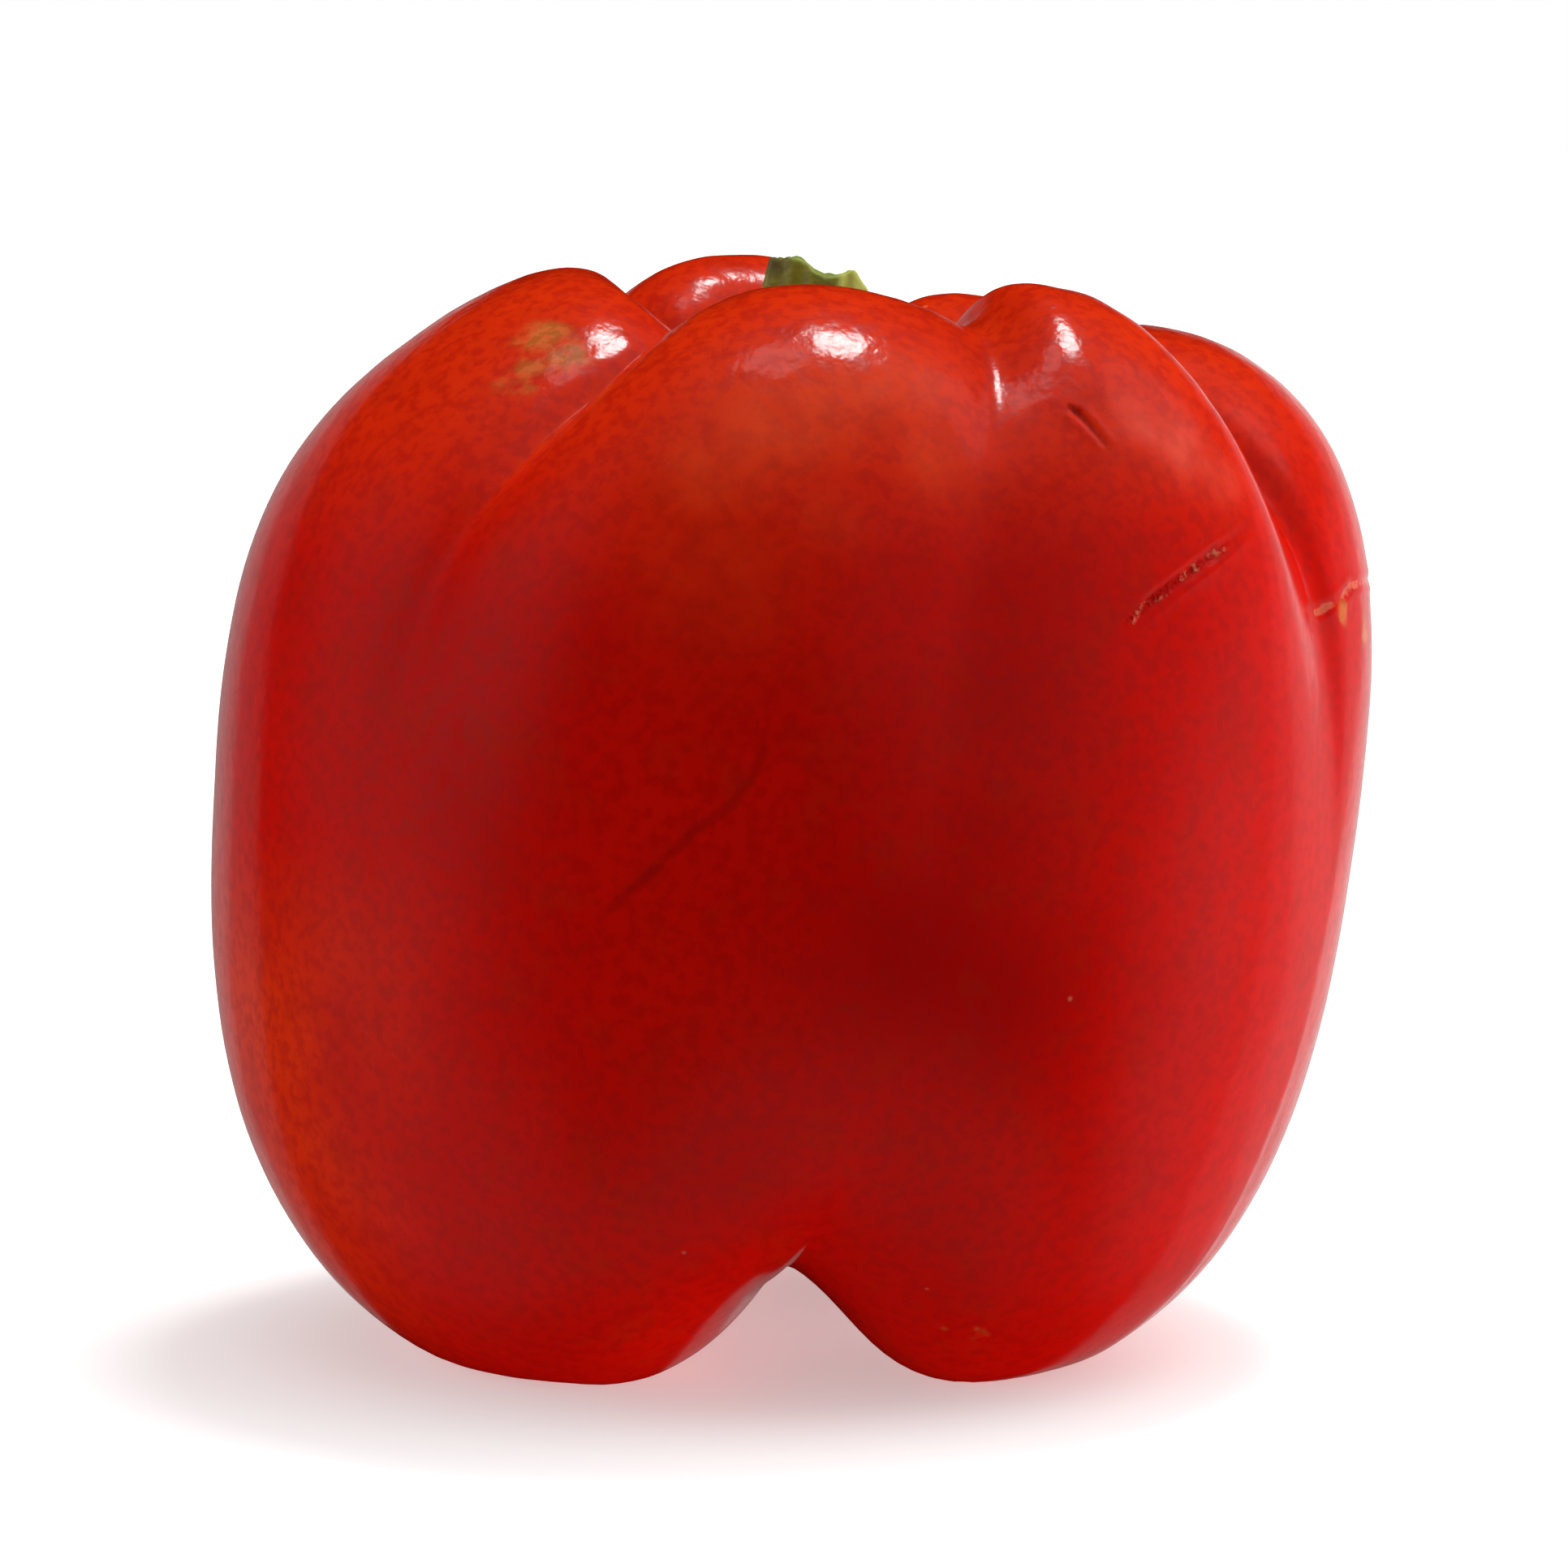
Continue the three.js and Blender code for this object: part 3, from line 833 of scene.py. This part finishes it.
# %% The finished skin
def ripe_skin():
    """The fruit's red, waxy skin with its marks."""
    material, tree, shader, where = new_material("ripe_skin")
    axes = put(tree, "SeparateXYZ", {0: where}).outputs
    grain = mottled(tree, where, 0.0011, 2.6)
    torn = mottled(tree, where, 0.0009, 4.0)
    gouge = mark_mask(tree, where, "gouge", 0.3, 0.35, 0.15)

    red = stained_and_painted_light(tree, where, patchy_red(tree, where, axes), grain)
    tree.links.new(marked(tree, where, red, gouge, torn), shader.inputs["Base Color"])
    rough = maths(tree, "ADD", ease(tree, grain, 0.0, 1.0, 0.14, 0.20), times(tree, gouge, -0.04))
    tree.links.new(rough, shader.inputs["Roughness"])
    height = skin_height(tree, where, axes, gouge, torn)
    bump = put(tree, "Bump", {"Strength": 1.0, "Distance": RELIEF_UNIT, "Height": height})
    tree.links.new(bump.outputs["Normal"], shader.inputs["Normal"])

    shader.inputs["IOR"].default_value = 1.45
    shader.inputs["Specular IOR Level"].default_value = 0.32
    shader.inputs["Coat Weight"].default_value = 0.08
    shader.inputs["Coat Roughness"].default_value = 0.06
    shader.inputs["Coat IOR"].default_value = 1.4
    return material


pepper_skin.data.materials.append(ripe_skin())

# %% [markdown]
# ## The green parts
#
# The calyx and the stem are a dull green with a fine paler grain. The calyx is bruised brown in places, and
# the stem has turned brown on its high side and yellowish on the torn lip of the cut. The two share their
# greens, so they look grown from one.

# %% Colours of the green parts
# The stem's brown covers this height and side of its top, and its lip starts at this side, in metres.
BROWN_HEIGHTS = (0.0862, 0.0876)
BROWN_SIDE = (0.0005, -0.0015)
LIP_SIDE = (0.0032, 0.0044)
DARK_GREEN = colour(0.110, 0.150, 0.010)
GREEN = colour(0.230, 0.270, 0.018)
YELLOW_GREEN = colour(0.440, 0.500, 0.070)
BARK_BROWN = colour(0.085, 0.050, 0.012)


def leafy(tree, where):
    """The mottled green that the calyx and the stem share."""
    green = blend(tree, mottled(tree, where, 0.0035, 2.0), DARK_GREEN, GREEN)
    pale = mottled(tree, where, 0.0009, 1.8)
    return blend(tree, ease(tree, pale, 0.3, 1.0, 0.0, 0.5), green, YELLOW_GREEN)


def calyx_green():
    """The calyx: green, with brown bruises."""
    material, tree, shader, where = new_material("calyx_green")
    green = leafy(tree, where)
    bruise = mottled(tree, where, 0.004, 3.0)
    green = blend(tree, ease(tree, bruise, 0.7, 1.0, 0.0, 0.7), green, BARK_BROWN)
    tree.links.new(green, shader.inputs["Base Color"])
    dimples = use(tree, peel, {"Place": where, "Dimple Size": 0.0006})
    bump = put(tree, "Bump", {"Strength": 1.0, "Distance": 0.00004, "Height": dimples})
    tree.links.new(bump.outputs["Normal"], shader.inputs["Normal"])
    shader.inputs["Roughness"].default_value = 0.5
    return material


def stem_green():
    """The stem: the same green, browner at its high side and yellower on the torn lip."""
    material, tree, shader, where = new_material("stem_green")
    axes = put(tree, "SeparateXYZ", {0: where}).outputs
    green = leafy(tree, where)
    high = ease(tree, axes["Z"], *BROWN_HEIGHTS)
    left = ease(tree, axes["X"], *BROWN_SIDE)
    brown = times(tree, times(tree, high, left), 0.7)
    green = blend(tree, brown, green, BARK_BROWN)
    lip = ease(tree, axes["X"], *LIP_SIDE)
    green = blend(tree, times(tree, lip, 0.7), green, YELLOW_GREEN)
    tree.links.new(green, shader.inputs["Base Color"])
    dimples = use(tree, peel, {"Place": where, "Dimple Size": 0.0005})
    bump = put(tree, "Bump", {"Strength": 1.0, "Distance": 0.00005, "Height": dimples})
    tree.links.new(bump.outputs["Normal"], shader.inputs["Normal"])
    shader.inputs["Roughness"].default_value = 0.5
    return material


calyx.data.materials.append(calyx_green())
stem.data.materials.append(stem_green())

# %% [markdown]
# ## The studio
#
# The pepper stands on a plain pale floor, in a white light tent. A tent lights it from all round, from below
# too, but least from the viewer's side, where it is open: that keeps the front deep and saturated. The sky
# stands for the tent, as a sum of soft glows. What a glossy skin mirrors is another matter, because a tent's
# whole wall would veil the red in haze. So the sky gives only soft light, and a few lamps with wide discs
# are what the skin mirrors: one strong skylight high behind, and faint ones that draw the rims. The floor
# shows the pepper's shadow but throws no light back and stops none, because the tent's low glows already
# stand for the light of a bright ground.

# %% The floor
FLOOR_SIZE = 60.0
FLOOR_GREY = 0.70
FLOOR_GLOW = 0.4

floor_mesh = bmesh.new()
bmesh.ops.create_grid(floor_mesh, x_segments=2, y_segments=2, size=FLOOR_SIZE / 2)
floor_data = bpy.data.meshes.new("studio_floor")
floor_mesh.to_mesh(floor_data)
floor_mesh.free()
floor = bpy.data.objects.new("studio_floor", floor_data)
bpy.context.scene.collection.objects.link(floor)
floor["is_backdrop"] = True
floor.visible_diffuse = False
floor.visible_glossy = False
floor.visible_shadow = False
floor_paint = bpy.data.materials.new("floor_paint")
floor_paint.use_nodes = True
floor_look = floor_paint.node_tree.nodes["Principled BSDF"].inputs
floor_look["Base Color"].default_value = colour(FLOOR_GREY, FLOOR_GREY, FLOOR_GREY)
floor_look["Roughness"].default_value = 0.9
floor_look["Specular IOR Level"].default_value = 0.0
floor_look["Emission Color"].default_value = colour(1, 1, 1)
floor_look["Emission Strength"].default_value = FLOOR_GLOW
floor_data.materials.append(floor_paint)
print("the floor is", FLOOR_SIZE, "m wide")

# %% The lamps that the skin mirrors
# Each has its bearing, its height and the width of its disc in degrees, the brightness of the disc, and
# whether it gives soft light as well as a reflection.
LAMPS = [
    ("skylight", 142, 76, 11, 30.0, True),
    ("overhead", -110, 85, 12, 2.0, False),
    ("high_right", 100, 48, 28, 0.40, False),
    ("ceiling", 35, 62, 56, 0.06, False),
    ("rim_right", 146, -8, 66, 0.14, False),
    ("side_right", 152, -6, 50, 0.16, False),
    ("edge_right", 160, -6, 34, 0.36, False),
    ("rim_left", -150, -4, 50, 0.14, False),
    ("edge_left", -160, -4, 34, 0.16, False),
]


def towards(bearing, height):
    """The direction at a bearing from the viewer's side, turning to the right, and a height, in degrees."""
    bearing, height = math.radians(bearing), math.radians(height)
    flat = math.cos(height)
    return Vector((math.sin(bearing) * flat, -math.cos(bearing) * flat, math.sin(height)))


for name, bearing, height, width, brightness, gives_soft_light in LAMPS:
    lamp_data = bpy.data.lights.new(name, "SUN")
    lamp_data.angle = math.radians(width)
    lamp_data.energy = brightness * math.tau * (1 - math.cos(math.radians(width / 2)))
    lamp = bpy.data.objects.new(name, lamp_data)
    bpy.context.scene.collection.objects.link(lamp)
    lamp.rotation_mode = "QUATERNION"
    lamp.rotation_quaternion = towards(bearing, height).to_track_quat("Z", "Y")
    lamp.visible_diffuse = gives_soft_light
    print("the", name, "lamp gives", round(lamp_data.energy, 3), "W per square metre")

# %% The tent
# Each glow has its bearing and its height in degrees, and its strength. It is full out to GLOW_MIDDLE
# degrees from its middle and gone at GLOW_EDGE.
GLOW_MIDDLE = 3
GLOW_EDGE = 42
GLOWS = [
    ("overhead", 0, 90, 1.8),
    ("high right", 110, 52, 2.6),
    ("left", -84, 16, 2.2),
    ("low right", 108, -18, 6.2),
    ("low left", -85, -40, 2.0),
    ("low front", 20, -58, 1.1),
    ("near right", 50, 15, 1.0),
]

tent = bpy.data.worlds.new("tent")
tent.use_nodes = True
tent.cycles_visibility.glossy = False
tent_tree = tent.node_tree
background = tent_tree.nodes["Background"]
look = tent_tree.nodes.new("ShaderNodeTexCoord").outputs["Generated"]
edge = math.cos(math.radians(GLOW_EDGE))
middle = math.cos(math.radians(GLOW_MIDDLE))
total = 0.0
for name, bearing, height, strength in GLOWS:
    agree = put(tent_tree, "VectorMath", {0: look, 1: towards(bearing, height)}, operation="DOT_PRODUCT")
    glow = ease(tent_tree, agree.outputs["Value"], edge, middle, 0.0, strength)
    total = maths(tent_tree, "ADD", glow, total)
seen = tent_tree.nodes.new("ShaderNodeLightPath").outputs["Is Camera Ray"]
shown = blend(tent_tree, seen, total, colour(1, 1, 1))
tent_tree.links.new(shown, background.inputs["Color"])
bpy.context.scene.world = tent
bpy.context.scene.view_settings.view_transform = "Standard"
print("the tent glows", ", ".join(name for name, *_ in GLOWS))

# %% [markdown]
# ## The camera
#
# The camera stands close by, a little higher than the middle of the fruit, and looks slightly down on it.
# Its long lens fills the frame with the fruit.

# %% The camera
CAMERA_DISTANCE = 0.43
CAMERA_HEIGHT = 7.0
CAMERA_TILT = math.radians(0.09)
CAMERA_LENS = 121.4
AIM_SHIFT = Vector((-0.52, 0, 1.33)) * MM

aim = (low_corner + high_corner) / 2 + AIM_SHIFT
camera_data = bpy.data.cameras.new("camera")
camera_data.lens = CAMERA_LENS
camera_data.clip_start = 0.01
camera_data.clip_end = 200
camera = bpy.data.objects.new("camera", camera_data)
bpy.context.scene.collection.objects.link(camera)
back = towards(0, CAMERA_HEIGHT)
camera.location = aim + back * CAMERA_DISTANCE
camera.rotation_mode = "QUATERNION"
camera.rotation_quaternion = (-back).to_track_quat("-Z", "Y") @ Quaternion((0, 0, 1), CAMERA_TILT)
bpy.context.scene.camera = camera
print("the camera stands at", [round(side, 3) for side in camera.location])

# %% Print the finished size, and finish
boxes = {"cad": frame_box, "visual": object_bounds()}
finished_size = boxes["visual"][1] - boxes["visual"][0]
print("the finished size in mm is", [round(side / MM, 1) for side in finished_size])
